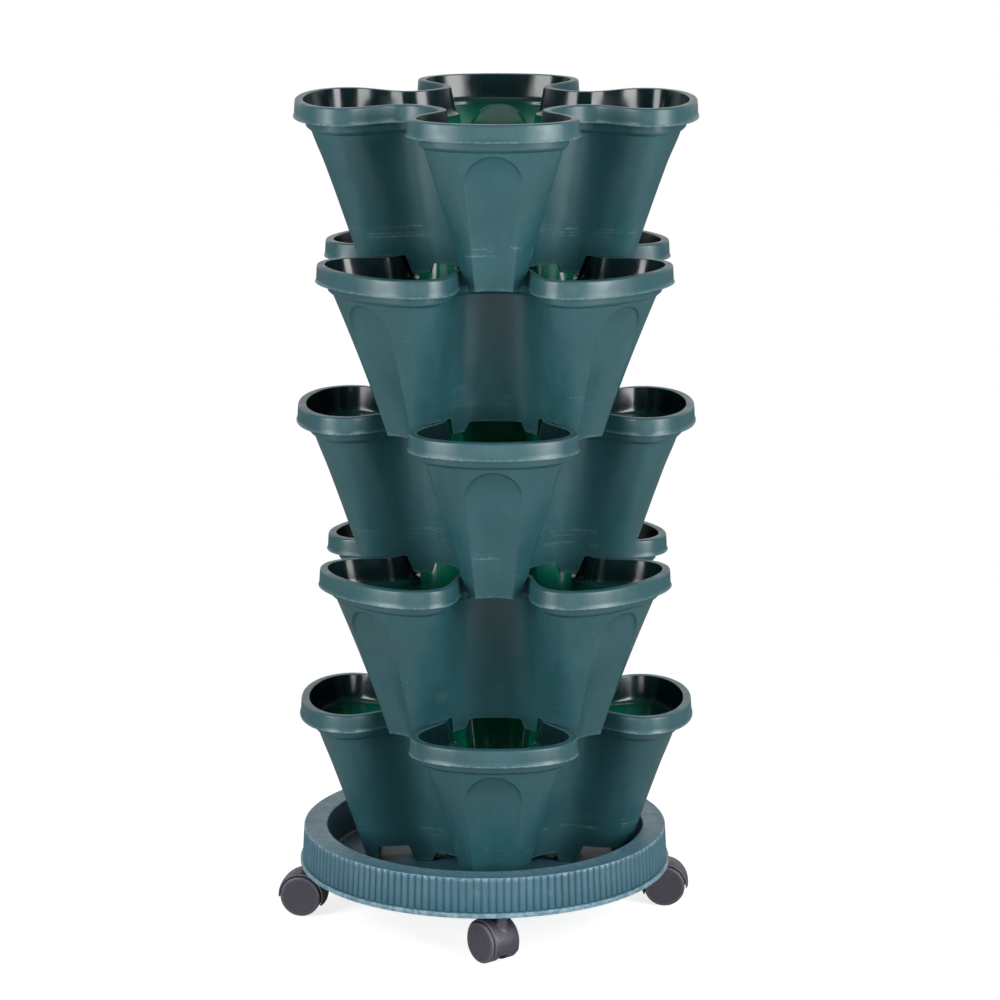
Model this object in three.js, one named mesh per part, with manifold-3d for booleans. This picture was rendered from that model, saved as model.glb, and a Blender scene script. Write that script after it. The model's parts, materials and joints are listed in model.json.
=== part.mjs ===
// Vertical planter tower: five four-lobed pots stacked crosswise in a round tray on swivel casters.
// Lengths are in millimetres, +Z is up and the front of the tower looks along -Y.
import * as THREE from 'three'
import { mergeVertices } from 'three/addons/utils/BufferGeometryUtils.js'
import Module from 'manifold-3d'

const wasm = await Module()
wasm.setup()

// Stack
const tier_count = 5
const tier_turn = Math.PI / 4
const stack_offset_x = 10.3
const stack_offset_y = 3.5
const seat_gap = 0.3

// Pot seen from above, at the lip of its rim
const lobe_count = 4
const pot_lip_radius = 175
const pot_lip_half_width = 73.3
const pot_shoulder_radius = 129.8
const pot_lip_valley_radius = 83.8

// Pot seen from above, at the bottom of its feet
const foot_half_width = 24.8
const foot_tip_reach = 26
const foot_valley_radius = 48

// How the outline curves run between tip, shoulder and valley
const tip_handle_share = 0.62
const shoulder_handle_share = 0.55
const flank_handle_share = 0.38
const valley_handle_share = 0.62
const tip_steps = 3
const flank_steps = 3

// Pot heights and walls
const pot_height = 149.3
const wall = 2.2
const rim_height = 15.4
const rim_flare = 1.6
const rim_top_width = 7.1
const rim_roof = 2.2
const neck_height = 10.1
const neck_top_inset = 10.4
const neck_shoulder_rise = 3
const neck_shoulder_inset = 11
const neck_foot_inset = 14.2
const body_inset = 15.2
const inner_ledge_rise = 1
const cut_margin = 5

// Flute pressed into the front of each lobe: an arch whose face sinks and hollows towards the foot
const flute_top_drop = 28
const flute_half_width = 24.5
const flute_foot_half_width = 16.5
const flute_edge_depth = 0.8
const flute_panel_depth = 6
const flute_foot_depth = 9.5
const flute_foot_hollow = 4.5
const flute_arch_segments = 6
const flute_arch_rows = 2
const flute_face_segments = 4

// Floor, feet and the cuts that let the rim below pass behind the feet
const slot_height = 16.15
const floor_thickness = 2.5
const slot_inner_radius_top = 78
const slot_inner_radius_foot = 72
const slot_outer_radius_top = 105
const slot_outer_radius_foot = 107
const slot_half_reach = 32
const notch_height = 8.7
const notch_half_width_top = 22.5
const notch_half_width_foot = 26
const drain_hole_radius = 4
const drain_lobe_radius = 88
const drain_segments = 6

// Tray
const tray_base_height = 45.5
const tray_height = 35
const tray_top_radius = 161.7
const tray_draft = 1.7
const tray_flange_width = 1.9
const tray_flange_height = 4.2
const tray_rim_width = 20.7
const tray_dish_draft = 2
const tray_foot_room = 19
const tray_floor_thickness = 2.2
const tray_wall = 2.2
const reed_count = 156
const reed_depth = 0.9
const tray_segments = 36
const socket_radius = 8.6
const socket_segments = 8
const socket_depth = 28

// Casters
const caster_inset = 10.7
const caster_turn = 6.8
const wheel_radius = 18.2
const wheel_edge = 1.6
const wheel_outer_face = 15.3
const wheel_segments = 16
const hood_gap = 0.9
const hood_crown = 1.2
const hood_thickness = 2.4
const hood_half_width = 13
const hood_flat_half_width = 7
const hood_front_angle = -24
const hood_rear_angle = 185
const hood_segments = 8
const barrel_segments = 20
const web_half_width = 4
const caster_lead = 12.4
const collar_radius = 4.7
const collar_gap = 0.3
const stem_radius = 2.5
const stem_clearance = 0.4
const stem_bottom_height = 27
const stem_flange_radius = 4.6
const stem_flange_thickness = 1.2
const stem_plug_radius = 3.7
const stem_plug_length = 26
const stem_segments = 8
const axle_radius = 2
const axle_half_length = 11.5
const axle_clearance = 0.05

// Where each caster stands on the tray and which way it points, in degrees
const casters = [
  { name: 'front', place: -90, lead: -50.3 },
  { name: 'right', place: 0, lead: 178.7 },
  { name: 'back', place: 90, lead: 118 },
  { name: 'left', place: 180, lead: -10 }
]

// Derived sizes
const tray_base_radius = tray_top_radius + tray_draft
const tray_flange_radius = tray_base_radius + tray_flange_width
const tray_inner_radius = tray_top_radius - tray_rim_width
const tray_floor_radius = tray_inner_radius - tray_dish_draft
const foot_tip_radius = tray_floor_radius - tray_foot_room
const foot_shoulder_radius = foot_tip_radius - foot_tip_reach
const tier_pitch = pot_height - slot_height + seat_gap
const floor_underside = -pot_height + slot_height
const floor_top = floor_underside + floor_thickness
const neck_bottom = -rim_height - neck_height
const body_height = pot_height + neck_bottom
const rim_inner_inset = rim_flare + rim_top_width
const flute_arch_height = -flute_top_drop - flute_half_width
const tray_floor_height = tray_base_height + tray_floor_thickness
const lowest_rim_height = tray_floor_height + seat_gap + pot_height
const caster_circle_radius = tray_top_radius - caster_inset
const hood_inner_radius = wheel_radius + hood_gap
const hood_outer_radius = hood_inner_radius + hood_thickness
const web_radius = hood_inner_radius + hood_thickness / 4
const stem_flange_top = tray_base_height - seat_gap
const stem_flange_bottom = stem_flange_top - stem_flange_thickness
const collar_top = stem_flange_bottom - collar_gap
const wheel_inner_face = web_half_width + collar_gap

const colour = {
  pot: new THREE.Color(0x1f4a50),
  tray: new THREE.Color(0x2f5a62),
  caster: new THREE.Color(0x2b2a2f),
  steel: new THREE.Color(0x9a9ca0)
}
const finish = {
  pot: { color: colour.pot, roughness: 0.42, metalness: 0 },
  tray: { color: colour.tray, roughness: 0.48, metalness: 0 },
  caster: { color: colour.caster, roughness: 0.5, metalness: 0 },
  steel: { color: colour.steel, roughness: 0.3, metalness: 1 }
}

// Geometry to and from the solid modeller
function solid(geometry) {
  const bare = geometry.clone()
  bare.deleteAttribute('normal')
  bare.deleteAttribute('uv')
  const welded = mergeVertices(bare, 1e-4)
  const vertProperties = new Float32Array(welded.attributes.position.array)
  const triVerts = new Uint32Array(welded.index.array)
  return new wasm.Manifold(new wasm.Mesh({ numProp: 3, vertProperties, triVerts }))
}

function geometryOf(body) {
  const mesh = body.getMesh()
  const geometry = new THREE.BufferGeometry()
  geometry.setAttribute('position', new THREE.BufferAttribute(new Float32Array(mesh.vertProperties), 3))
  geometry.setIndex(new THREE.BufferAttribute(new Uint32Array(mesh.triVerts), 1))
  return mergeVertices(geometry, 1e-4)
}

// A solid skinned over a chain of outlines, from the one it stands on to the one on top
function loft(rows) {
  const count = rows[0].length
  const last = (rows.length - 1) * count
  const positions = rows.flat().flatMap((p) => [p.x, p.y, p.z])
  const index = []
  for (let start = 0; start < last; start += count) {
    for (let j = 0; j < count; j += 1) {
      const k = (j + 1) % count
      index.push(start + j, start + k, start + count + k)
      index.push(start + j, start + count + k, start + count + j)
    }
  }
  const flat = (row) => row.map((p) => new THREE.Vector2(p.x, p.y))
  for (const [a, b, c] of THREE.ShapeUtils.triangulateShape(flat(rows[0]), [])) {
    index.push(a, c, b)
  }
  for (const [a, b, c] of THREE.ShapeUtils.triangulateShape(flat(rows[rows.length - 1]), [])) {
    index.push(last + a, last + b, last + c)
  }
  const geometry = new THREE.BufferGeometry()
  geometry.setAttribute('position', new THREE.Float32BufferAttribute(positions, 3))
  geometry.setIndex(index)
  return solid(geometry)
}

// Turned solid from radius and height pairs, standing on Z
function turned(points, segments) {
  const geometry = new THREE.LatheGeometry(points.map(([r, z]) => new THREE.Vector2(r, z)), segments)
  geometry.rotateX(Math.PI / 2)
  return solid(geometry)
}

// Upright cylinder between two heights, its axis at x
function post(radius, bottom, top, x, segments) {
  const geometry = new THREE.CylinderGeometry(radius, radius, top - bottom, segments)
  geometry.rotateX(Math.PI / 2)
  geometry.translate(x, 0, (top + bottom) / 2)
  return solid(geometry)
}

function aroundLobes(body, start) {
  const copies = []
  for (let i = 0; i < lobe_count; i += 1) {
    copies.push(body.rotate([0, 0, start + (360 * i) / lobe_count]))
  }
  return copies.reduce((sum, copy) => sum.add(copy))
}

// One quatrefoil outline, counter-clockwise, from four mirrored half lobes
function outline(section, z) {
  const { tip, halfWidth, shoulder, valley } = section
  const v = valley * Math.SQRT1_2
  const flank = shoulder - v
  const front = new THREE.CubicBezierCurve(
    new THREE.Vector2(tip, 0),
    new THREE.Vector2(tip, halfWidth * tip_handle_share),
    new THREE.Vector2(shoulder + (tip - shoulder) * shoulder_handle_share, halfWidth),
    new THREE.Vector2(shoulder, halfWidth)
  )
  const reach = flank * valley_handle_share * Math.SQRT1_2
  const side = new THREE.CubicBezierCurve(
    new THREE.Vector2(shoulder, halfWidth),
    new THREE.Vector2(shoulder - flank * flank_handle_share, halfWidth),
    new THREE.Vector2(v + reach, v - reach),
    new THREE.Vector2(v, v)
  )
  const half = [...front.getPoints(tip_steps), ...side.getPoints(flank_steps).slice(1)]
  const mirrored = half.slice(0, -1).reverse().map((p) => new THREE.Vector2(p.y, p.x))
  const quarter = [...half, ...mirrored].slice(0, -1)
  const origin = new THREE.Vector2()
  const points = []
  for (let i = 0; i < lobe_count; i += 1) {
    points.push(...quarter.map((p) => p.clone().rotateAround(origin, (i * Math.PI * 2) / lobe_count)))
  }
  return points.map((p) => new THREE.Vector3(p.x, p.y, z))
}

function lipSection(inset) {
  return {
    tip: pot_lip_radius - inset,
    halfWidth: pot_lip_half_width - inset,
    shoulder: pot_shoulder_radius,
    valley: pot_lip_valley_radius - inset
  }
}

function lipOutline(inset, z) {
  return outline(lipSection(inset), z)
}

// Section of the tapering body at height z below the rim, set in by a wall thickness
function bodySection(z, inset) {
  const t = (neck_bottom - z) / body_height
  const top = lipSection(body_inset)
  const mix = (a, b) => a + (b - a) * t
  return {
    tip: mix(top.tip, foot_tip_radius) - inset,
    halfWidth: mix(top.halfWidth, foot_half_width) - inset,
    shoulder: mix(top.shoulder, foot_shoulder_radius),
    valley: mix(top.valley, foot_valley_radius) - inset
  }
}

function bodyOutline(z, inset) {
  return outline(bodySection(z, inset), z)
}

// One level of the flute's face, seen from above, with the outer side well clear of the pot
function fluteRow(z, inset) {
  const arch = Math.min((-flute_top_drop - z) / flute_half_width, 1)
  const run = Math.max((z - flute_arch_height) / (-pot_height - flute_arch_height), 0)
  const fall = (-flute_top_drop - z) / (pot_height - flute_top_drop)
  const sunk = flute_edge_depth + (flute_panel_depth - flute_edge_depth) * arch * (2 - arch)
  const depth = sunk + (flute_foot_depth - flute_panel_depth) * run
  const deepest = bodySection(z, depth + inset).tip
  const reach = flute_half_width + inset + cut_margin
  const outer = pot_lip_radius + cut_margin
  const row = [new THREE.Vector3(outer, -reach, z), new THREE.Vector3(outer, reach, z)]
  for (let i = 0; i <= flute_face_segments; i += 1) {
    const y = reach - (2 * reach * i) / flute_face_segments
    row.push(new THREE.Vector3(deepest + fall * flute_foot_hollow * (y / flute_foot_half_width) ** 2, y, z))
  }
  return row
}

// Plug that presses a flute into a lobe, or its back where it is let in further by the wall
function flutePlug(inset) {
  const bottom = -pot_height - cut_margin
  const heights = [bottom, -pot_height]
  for (let i = flute_arch_rows; i >= 0; i -= 1) {
    heights.push(-flute_top_drop - (flute_half_width * i) / flute_arch_rows)
  }
  const rows = heights.map((z) => fluteRow(z, inset))
  rows.push(fluteRow(-flute_top_drop, inset).map((p) => p.setZ(inset + cut_margin - flute_top_drop)))
  const radius = flute_half_width + inset
  const foot = flute_foot_half_width + inset
  const front = new THREE.Shape()
  front.moveTo(-foot, bottom)
  front.lineTo(foot, bottom)
  front.lineTo(foot, -pot_height)
  front.absarc(0, flute_arch_height, radius, 0, Math.PI, false)
  front.lineTo(-foot, -pot_height)
  const options = { depth: pot_lip_radius + cut_margin, bevelEnabled: false, curveSegments: flute_arch_segments }
  const arch = new THREE.ExtrudeGeometry(front, options)
  arch.rotateX(Math.PI / 2)
  arch.rotateZ(Math.PI / 2)
  return loft(rows).intersect(solid(arch))
}

// Cutter with a trapezoid face that rises from the foot edge, extruded square to its face
function trapezoidCutter(footLow, footHigh, topLow, topHigh, height, depth) {
  const shape = new THREE.Shape([
    new THREE.Vector2(footLow, -cut_margin),
    new THREE.Vector2(footHigh, -cut_margin),
    new THREE.Vector2(footHigh, 0),
    new THREE.Vector2(topHigh, height),
    new THREE.Vector2(topLow, height),
    new THREE.Vector2(footLow, 0)
  ])
  const geometry = new THREE.ExtrudeGeometry(shape, { depth, bevelEnabled: false })
  geometry.rotateX(Math.PI / 2)
  return geometry
}

// Slots through both flanks of a lobe, where the rim of the pot below passes behind the foot
function rimSlots() {
  const geometry = trapezoidCutter(
    slot_inner_radius_foot,
    slot_outer_radius_foot,
    slot_inner_radius_top,
    slot_outer_radius_top,
    slot_height,
    2 * slot_half_reach
  )
  geometry.translate(0, slot_half_reach, -pot_height)
  return solid(geometry)
}

// Notch in the foot edge of each valley wall
function valleyNotch() {
  const geometry = trapezoidCutter(
    -notch_half_width_foot,
    notch_half_width_foot,
    -notch_half_width_top,
    notch_half_width_top,
    notch_height,
    foot_valley_radius
  )
  geometry.rotateZ(Math.PI / 2)
  geometry.translate(foot_valley_radius / 2, 0, -pot_height)
  return solid(geometry)
}

function drainHole(x) {
  return post(drain_hole_radius, floor_underside - cut_margin, floor_top + cut_margin, x, drain_segments)
}

function buildPot() {
  const ledge_foot = neck_bottom + wall
  const ledge_top = neck_bottom + neck_shoulder_rise + inner_ledge_rise
  const skin = [
    bodyOutline(-pot_height, 0),
    bodyOutline(neck_bottom, 0),
    lipOutline(neck_foot_inset, neck_bottom),
    lipOutline(neck_shoulder_inset, neck_bottom + neck_shoulder_rise),
    lipOutline(neck_top_inset, -rim_height),
    lipOutline(rim_inner_inset - wall, -rim_roof),
    lipOutline(rim_flare + wall, -rim_roof),
    lipOutline(wall, -rim_height),
    lipOutline(0, -rim_height),
    lipOutline(rim_flare, 0)
  ]
  const cavity = [
    bodyOutline(floor_top, wall),
    bodyOutline(ledge_foot, wall),
    lipOutline(neck_shoulder_inset + wall, ledge_top),
    lipOutline(rim_inner_inset, 0),
    lipOutline(rim_inner_inset, cut_margin)
  ]
  const underside = [
    outline(bodySection(-pot_height, wall), -pot_height - cut_margin),
    bodyOutline(-pot_height, wall),
    bodyOutline(floor_underside, wall)
  ]
  const flutes = aroundLobes(flutePlug(0), 0)
  const fluteBacks = aroundLobes(flutePlug(wall), 0)
  return loft(skin)
    .subtract(flutes)
    .subtract(loft(cavity).subtract(fluteBacks))
    .subtract(loft(underside).subtract(fluteBacks))
    .subtract(aroundLobes(rimSlots(), 0))
    .subtract(aroundLobes(valleyNotch(), 180 / lobe_count))
    .subtract(aroundLobes(drainHole(drain_lobe_radius), 0))
    .subtract(drainHole(0))
}

// Round tray, from its base up: a dish inside a reeded outer wall, open underneath between the two
function buildTray() {
  const reeded = (radius, z) => {
    const row = []
    for (let i = 0; i < reed_count * 2; i += 1) {
      const a = (i * Math.PI) / reed_count
      const r = radius - (i % 2) * reed_depth
      row.push(new THREE.Vector3(r * Math.cos(a), r * Math.sin(a), z))
    }
    return row
  }
  const drum = loft([
    reeded(tray_base_radius, tray_flange_height),
    reeded(tray_top_radius, tray_height)
  ])
  const flange = turned([
    [0, 0],
    [tray_flange_radius, 0],
    [tray_flange_radius, tray_flange_height],
    [0, tray_flange_height]
  ], tray_segments)
  const dish = turned([
    [0, tray_floor_thickness],
    [tray_floor_radius, tray_floor_thickness],
    [tray_inner_radius, tray_height],
    [tray_inner_radius, tray_height + cut_margin],
    [0, tray_height + cut_margin]
  ], tray_segments)
  const channel_inner = tray_inner_radius + tray_wall
  const channel_outer = tray_top_radius - reed_depth - tray_wall
  const channel_roof = tray_height - tray_wall
  const channel = turned([
    [channel_inner, -cut_margin],
    [channel_outer, -cut_margin],
    [channel_outer, channel_roof],
    [channel_inner, channel_roof],
    [channel_inner, -cut_margin]
  ], tray_segments)
  const bore_radius = stem_plug_radius + seat_gap
  const socket = post(socket_radius, 0, channel_roof, caster_circle_radius, socket_segments)
  const bore = post(bore_radius, -cut_margin, socket_depth, caster_circle_radius, stem_segments)
  const sockets = aroundLobes(socket, caster_turn)
  const bores = aroundLobes(bore, caster_turn)
  return drum.add(flange).subtract(dish).subtract(channel.subtract(sockets)).subtract(bores)
}

// Caster hood with its web and collar; the axle's middle is the origin and the stem stands ahead on +X
function buildHood() {
  const front = THREE.MathUtils.degToRad(hood_front_angle)
  const rear = THREE.MathUtils.degToRad(hood_rear_angle)
  const across = (shape, half) => {
    const options = { depth: 2 * half, bevelEnabled: false, curveSegments: hood_segments }
    const geometry = new THREE.ExtrudeGeometry(shape, options)
    geometry.translate(0, 0, -half)
    geometry.rotateX(Math.PI / 2)
    return solid(geometry)
  }
  const sector = new THREE.Shape()
  sector.absarc(0, 0, hood_outer_radius + hood_thickness, front, rear, false)
  const barrel = turned([
    [0, -hood_half_width],
    [hood_outer_radius - hood_crown, -hood_half_width],
    [hood_outer_radius, -hood_flat_half_width],
    [hood_outer_radius, hood_flat_half_width],
    [hood_outer_radius - hood_crown, hood_half_width],
    [0, hood_half_width]
  ], barrel_segments).rotate([90, 0, 0])
  const web = new THREE.Shape()
  web.absarc(0, 0, web_radius, front, rear, false)
  const bore = new THREE.Path()
  bore.absarc(0, 0, axle_radius + seat_gap, 0, Math.PI * 2, false)
  web.holes.push(bore)
  const round = new THREE.Shape().absarc(0, 0, hood_inner_radius, 0, Math.PI * 2, false)
  const hollow = across(round, wheel_outer_face)
  const top = collar_top - wheel_radius
  const room_bottom = stem_bottom_height - seat_gap - wheel_radius
  const collar = post(collar_radius, hood_inner_radius / 2, top, caster_lead, stem_segments)
  const room = post(stem_radius + stem_clearance, room_bottom, top + cut_margin, caster_lead, stem_segments)
  return across(sector, hood_half_width)
    .intersect(barrel)
    .add(collar)
    .subtract(hollow)
    .add(across(web, web_half_width))
    .subtract(room)
}

function buildStem() {
  return turned([
    [0, stem_bottom_height],
    [stem_radius, stem_bottom_height],
    [stem_radius, stem_flange_bottom],
    [stem_flange_radius, stem_flange_bottom],
    [stem_flange_radius, stem_flange_top],
    [stem_plug_radius, stem_flange_top],
    [stem_plug_radius, stem_flange_top + stem_plug_length],
    [0, stem_flange_top + stem_plug_length]
  ], stem_segments)
}

// Wheel standing on its axis, the face with the axle's blind bore down
function buildWheel() {
  const bore = axle_radius + axle_clearance
  const bore_end = axle_half_length + seat_gap
  return turned([
    [0, bore_end],
    [bore, bore_end],
    [bore, wheel_inner_face],
    [wheel_radius, wheel_inner_face],
    [wheel_radius, wheel_outer_face - wheel_edge],
    [wheel_radius - wheel_edge, wheel_outer_face],
    [0, wheel_outer_face]
  ], wheel_segments)
}

function buildAxle() {
  return turned([
    [0, -axle_half_length],
    [axle_radius, -axle_half_length],
    [axle_radius, axle_half_length],
    [0, axle_half_length]
  ], stem_segments)
}

function piece(name, geometry, look) {
  const mesh = new THREE.Mesh(geometry, new THREE.MeshStandardMaterial(finish[look]))
  mesh.name = name
  return mesh
}

function ready(body) {
  const geometry = geometryOf(body)
  geometry.computeVertexNormals()
  return geometry
}

// The stack of pots, the top one first, each turned from the one below
function makeStack() {
  const stack = new THREE.Group()
  stack.position.set(stack_offset_x, stack_offset_y, lowest_rim_height)
  const potGeometry = ready(buildPot())
  for (let tier = 1; tier <= tier_count; tier += 1) {
    const storey = tier_count - tier
    const pot = piece(`pot_tier_${tier}`, potGeometry, 'pot')
    pot.position.z = storey * tier_pitch
    pot.rotation.z = tier_turn * (storey % 2)
    stack.add(pot)
  }
  return stack
}

// One caster about its stem, its axle behind on -X
function makeCaster(name, parts) {
  const caster = new THREE.Group()
  const truck = new THREE.Group()
  truck.position.set(-caster_lead, 0, wheel_radius)
  const hood = piece(`caster_${name}_hood`, parts.hood, 'caster')
  const axle = piece(`caster_${name}_axle`, parts.axle, 'steel')
  axle.rotation.x = Math.PI / 2
  const left = piece(`caster_${name}_wheel_left`, parts.wheel, 'caster')
  left.rotation.x = Math.PI / 2
  const right = piece(`caster_${name}_wheel_right`, parts.wheel, 'caster')
  right.rotation.x = -Math.PI / 2
  truck.add(hood, axle, left, right)
  caster.add(truck, piece(`caster_${name}_stem`, parts.stem, 'steel'))
  return caster
}

function makeCasters() {
  const all = new THREE.Group()
  const parts = {
    hood: ready(buildHood()),
    axle: ready(buildAxle()),
    wheel: ready(buildWheel()),
    stem: ready(buildStem())
  }
  for (const { name, place, lead } of casters) {
    const angle = THREE.MathUtils.degToRad(place + caster_turn)
    const caster = makeCaster(name, parts)
    caster.position.set(caster_circle_radius * Math.cos(angle), caster_circle_radius * Math.sin(angle), 0)
    caster.rotation.z = THREE.MathUtils.degToRad(lead)
    all.add(caster)
  }
  return all
}

const tray = piece('tray', ready(buildTray()), 'tray')
tray.position.z = tray_base_height

const tower = new THREE.Group()
tower.add(makeStack(), tray, makeCasters())

// The origin is on the floor under the middle of the whole tower
const group = new THREE.Group()
group.name = 'planter_tower'
group.add(tower)
const bounds = new THREE.Box3().setFromObject(tower, true)
const middle = bounds.getCenter(new THREE.Vector3())
tower.position.set(-middle.x, -middle.y, -bounds.min.z)

export default group
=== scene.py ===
import json
import math
import bmesh
import bpy
import numpy as np
from mathutils import Matrix, Vector

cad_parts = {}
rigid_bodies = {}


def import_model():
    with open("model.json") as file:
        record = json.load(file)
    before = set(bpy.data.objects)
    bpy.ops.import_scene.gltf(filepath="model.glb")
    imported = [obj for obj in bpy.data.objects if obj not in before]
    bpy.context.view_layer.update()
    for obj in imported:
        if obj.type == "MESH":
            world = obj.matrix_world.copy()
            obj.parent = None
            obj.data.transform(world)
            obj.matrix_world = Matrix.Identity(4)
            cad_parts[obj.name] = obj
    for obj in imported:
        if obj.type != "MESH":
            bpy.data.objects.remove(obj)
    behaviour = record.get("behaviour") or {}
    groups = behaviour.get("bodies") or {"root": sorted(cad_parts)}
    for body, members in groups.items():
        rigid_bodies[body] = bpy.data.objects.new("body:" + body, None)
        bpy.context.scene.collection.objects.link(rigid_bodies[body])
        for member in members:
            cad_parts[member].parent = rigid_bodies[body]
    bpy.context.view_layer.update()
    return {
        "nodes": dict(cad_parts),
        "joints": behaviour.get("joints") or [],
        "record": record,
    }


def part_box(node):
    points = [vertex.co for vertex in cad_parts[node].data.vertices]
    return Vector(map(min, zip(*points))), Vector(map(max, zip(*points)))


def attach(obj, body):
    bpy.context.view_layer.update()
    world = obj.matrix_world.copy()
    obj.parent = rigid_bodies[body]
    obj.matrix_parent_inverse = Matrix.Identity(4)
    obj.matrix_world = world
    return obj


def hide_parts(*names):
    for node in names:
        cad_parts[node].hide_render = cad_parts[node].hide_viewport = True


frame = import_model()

# Sizes below are in millimetres
MM = 0.001

# Pot seen from above, at the lip of its rim and at the bottom of its feet
LIP = {"tip": 175.0, "half": 73.3, "shoulder": 129.8, "valley": 83.8}
FOOT = {"tip": 120.0, "half": 24.8, "shoulder": 94.0, "valley": 48.0}
TIP_HANDLE, SHOULDER_HANDLE, FLANK_HANDLE, VALLEY_HANDLE = 0.62, 0.55, 0.38, 0.62
LOBES = 4
SHOULDER_COLUMNS, FLANK_COLUMNS = 13, 16
COLUMN_ROOM = 0.018
HALVINGS = 40

# A pot wider than this stands with its lobes along X and Y
STRAIGHT_LIMIT = 330.0

# Pot heights and walls. Insets go inwards from the lip, and heights are counted from the top of the rim
POT_HEIGHT = 149.3
WALL = 2.2
RIM_HEIGHT = 15.4
RIM_FLARE = 1.6
RIM_TOP_WIDTH = 7.1
RIM_INSET = RIM_FLARE + RIM_TOP_WIDTH
RIM_ROOF = 2.2
RIM_ROUND, INNER_ROUND = 1.7, 0.8
BEAD = 0.75
NECK_TOP_INSET, NECK_LOW_INSET, NECK_FOOT_INSET = 10.4, 11.0, 14.2
NECK_LEAN = 2.6
NECK_ROOF_INSET = NECK_TOP_INSET - NECK_LEAN
NECK_LEDGE, NECK_BOTTOM = -22.5, -25.5
NECK_START, NECK_STEP, NECK_ROOM = 0.1, 0.3, 1.2
LEDGE_TOP, LEDGE_FOOT = -21.5, -23.3
LEDGE_ROOM, LEDGE_DROP, LEDGE_END_ROOM = 0.2, 1.2, 0.02
BODY_INSET = 15.2
SIDE_BOW = 1.3
EDGE_ROUND = 0.7

# Rim: steps of (inset, height) round the skirt's roof, shares of its face, arcs as (start, end, points)
ROOF_FROM_NECK = ((-0.4, -0.2), (-1.0, 0.0))
ROOF_TO_SKIRT = ((1.0, 0.0), (0.1, -0.6), (0.0, -1.6))
SKIRT_ROOM, SKIRT_RISE = 0.1, 0.9
FACE_SHARES = (0.16, 0.3, 0.5, 0.75)
BEAD_ARC, TOP_ARC = (-60, -215, 7), (180, 90, 6)
TOP_EDGE_ARC, INNER_EDGE_ARC = (90, 60, 3), (40, 0, 4)

# Rounded corners: the shares of a level and of a sloping side that the curve takes, and its steps
NECK_CORNERS, LEDGE_CORNERS, FOOT_CORNERS = ((0.2, 0.2), 3), ((0.2, 0.25), 4), ((0.14, 0.10), 3)

# Rows of the pot's skin: shares of a height, turns in degrees round an edge, and numbers of rows
UNDER_SHARES, ABOVE_ARCH_SHARES = (1.0, 0.66, 0.33), (0.4, 0.8)
FOOT_INNER_TURNS, FOOT_OUTER_TURNS = (0, 35, 65, 90), (90, 60, 30, 0)
FILLET_TURNS = (30, 60, 90)
FOOT_ROWS, WALL_ROWS, INNER_ROWS = 8, 20, 15
FOOT_ROOM, FOOT_LIFT_SHARE = 0.02, 0.3

# Marks of the rows: the zone, the wear and the place on the arch of the flute
OUTSIDE, INSIDE, UNDERSIDE = 0.0, 1.0, 2.0
FULL_WEAR, FOOT_INNER_WEAR, FOOT_WEAR_EASE = 1.0, 0.4, 0.6
BEAD_WEAR, RIM_WEAR = 0.45, 0.3
BEAD_BAND_INSET, BEAD_BAND_HEIGHT, RIM_BAND = 0.1, 2.0, 1.2
OFF_ARCH, SAME_PLACE = -1.0, 1e-9

# Floor and the cuts in the foot edge
SLOT_HEIGHT = 16.15
SLOT_ROOM = 0.15
FLOOR_THICKNESS = 2.5
FLOOR_FILLET = 2.0
SLOT_INNER_TOP, SLOT_INNER_FOOT = 78.0, 72.0
SLOT_OUTER_TOP, SLOT_OUTER_FOOT = 105.0, 107.0
NOTCH_HEIGHT = 8.7
NOTCH_TOP, NOTCH_FOOT = 22.5, 26.0
DRAIN_RADIUS, DRAIN_AT, DRAIN_SIDES = 4.0, 88.0, 24

# Flute pressed into the front of each lobe: an arch whose face sinks and hollows towards the foot
FLUTE_TOP, FLUTE_HALF, FLUTE_FOOT_HALF = -28.0, 24.5, 16.5
FLUTE_EDGE_DEPTH, FLUTE_PANEL_DEPTH, FLUTE_FOOT_DEPTH = 0.8, 6.0, 9.5
FLUTE_HOLLOW = 4.5
FLUTE_SOFT = 1.3
FLUTE_STEPS, FLUTE_SPAN = 16, 0.3
ARCH_LEVEL = FLUTE_TOP - FLUTE_HALF
ARCH_TURNS = [math.radians(90 * k / FLUTE_STEPS) for k in range(FLUTE_STEPS + 1)]

FLOOR_UNDER = -POT_HEIGHT + SLOT_HEIGHT
FLOOR_TOP = FLOOR_UNDER + FLOOR_THICKNESS
BODY_HEIGHT = POT_HEIGHT + NECK_BOTTOM
MID_LEVEL = -126.0
QUARTER_TURNS = (0.0, math.pi / 2, math.pi, -math.pi / 2)

# Tray, round its own axis, with heights above its underside
TRAY_HEIGHT = 35.0
TRAY_TOP, TRAY_BASE, TRAY_FLANGE = 161.7, 163.4, 165.3
TRAY_EDGE = 0.8
FLANGE_HEIGHT, FLANGE_EDGE = 4.2, 0.7
DISH_TOP, DISH_FLOOR, DISH_THICKNESS = 141.0, 139.0, 2.2
DISH_EDGE, DISH_FILLET = 1.5, 3.0
REEDS, REED_COLUMNS, REED_DEPTH, REED_POWER = 156, 7, 0.9, 2.5
REED_LIFT, GAP_DEPTH = 1.2, 0.7
CHANNEL_INNER, CHANNEL_OUTER, CHANNEL_ROOF = 143.2, 158.6, 32.8
SOCKET_RADIUS, SOCKET_BORE, SOCKET_DEPTH, SOCKET_SINK = 8.6, 4.0, 28.0, 0.5
RING_EDGE_STEP = 1.76
RING_EDGE_TURNS, REED_SHARES = (90, 65, 40, 20, 0), (0.1, 0.5, 1.0)
REED_FOOT_STEP, REED_FOOT_RISE, REED_FOOT_SHARE, GAP_RISE = 0.36, 0.72, 0.9, 0.48
DISH_FLOOR_ARC, DISH_EDGE_ARC = (-90, -5, 5), (180, 90, 6)
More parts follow.
